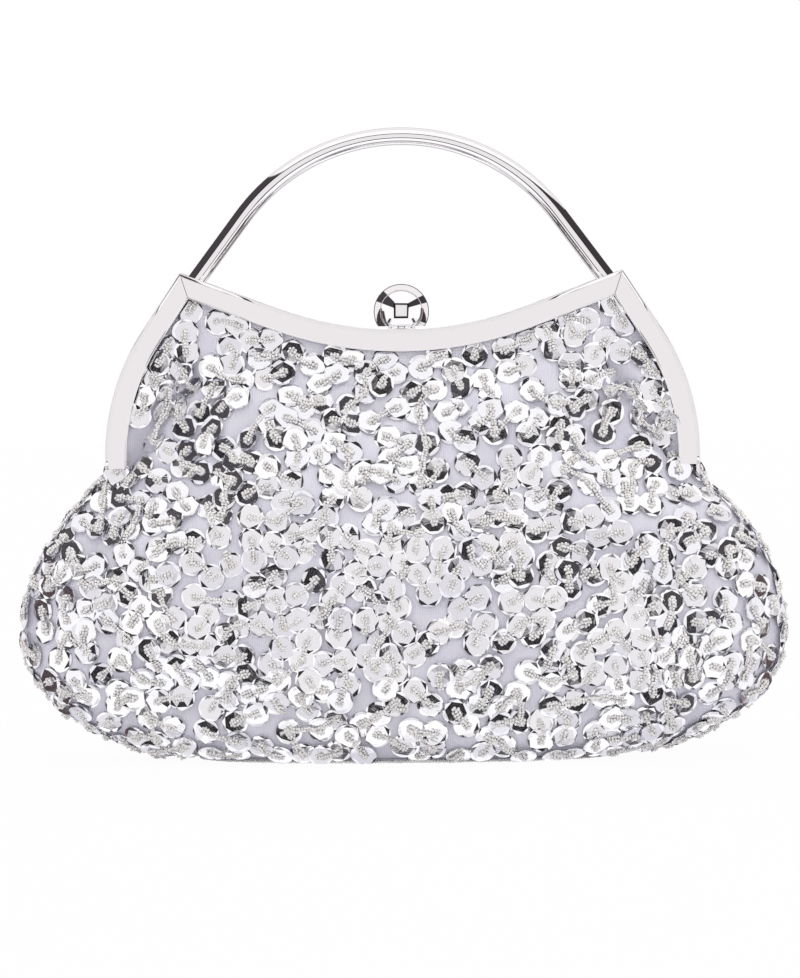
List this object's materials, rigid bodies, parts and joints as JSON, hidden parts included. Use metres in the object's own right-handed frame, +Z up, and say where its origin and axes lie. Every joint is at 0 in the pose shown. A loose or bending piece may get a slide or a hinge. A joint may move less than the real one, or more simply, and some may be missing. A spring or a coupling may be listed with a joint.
{
  "type": "evening bag",
  "caption": "Beaded and sequined pouch in a hinged kiss-clasp metal frame, with a fixed arched tube handle and a ball clasp.",
  "frame": {"origin": "middle of the flat base, on the surface the bag stands on", "axes": "+X along the bag, the front with the clasp's catch half faces -Y, +Z up"},
  "size_m": [0.24, 0.062, 0.1962],
  "materials": {
    "silver_metal": "bright silver-tone plating, polished",
    "beaded_fabric": "pale lilac-grey satin under sewn sequins and seed beads",
    "lining_satin": "plain silver-grey satin",
    "paper_cord": "twisted paper cord",
    "card": "grey-brown pressed card",
    "sequin": "mirror-silver faceted cup sequin",
    "seed_bead": "silver-lined clear seed bead",
    "spring_steel": "bright spring wire"
  },
  "bodies": {
    "pouch": {"front_panel": "beaded_fabric", "back_panel": "beaded_fabric", "bottom_panel": "beaded_fabric", "base_board": "card", "front_lining": "lining_satin", "back_lining": "lining_satin"},
    "front_frame": {"front_top_rail": "silver_metal", "front_left_rail": "silver_metal", "front_right_rail": "silver_metal", "front_packing_cord": "paper_cord", "front_panel_top": "beaded_fabric", "front_lining_top": "lining_satin", "hinge_rivets": "silver_metal", "catch_plate": "silver_metal"},
    "back_frame": {"back_top_rail": "silver_metal", "back_left_rail": "silver_metal", "back_right_rail": "silver_metal", "back_packing_cord": "paper_cord", "back_panel_top": "beaded_fabric", "back_lining_top": "lining_satin", "handle_tube": "silver_metal", "handle_studs": "silver_metal", "clasp_pin": "silver_metal", "clasp_bracket": "silver_metal", "clasp_spring": "spring_steel"},
    "clasp": {"clasp_ball": "silver_metal", "clasp_lever": "silver_metal"}
  },
  "joints": [
    {"name": "back_hinge", "type": "hinge", "parent": "pouch", "child": "back_frame", "pos_m": [0, 0, 0.087], "axis": [-1, 0, 0], "range_deg": [0, 35]},
    {"name": "front_hinge", "type": "hinge", "parent": "pouch", "child": "front_frame", "pos_m": [0, 0, 0.087], "axis": [1, 0, 0], "range_deg": [0, 35]},
    {"name": "clasp_tilt", "type": "hinge", "parent": "back_frame", "child": "clasp", "pos_m": [0, 0.00365, 0.12943], "axis": [-1, 0, 0], "range_deg": [0, 15], "stiffness_Nm_per_rad": 0.04, "springref_deg": -17.19, "deforming": ["clasp_spring"]}
  ],
  "couplings": [
    {"joint": "front_hinge", "follows": "back_hinge", "ratio": 1}
  ]
}
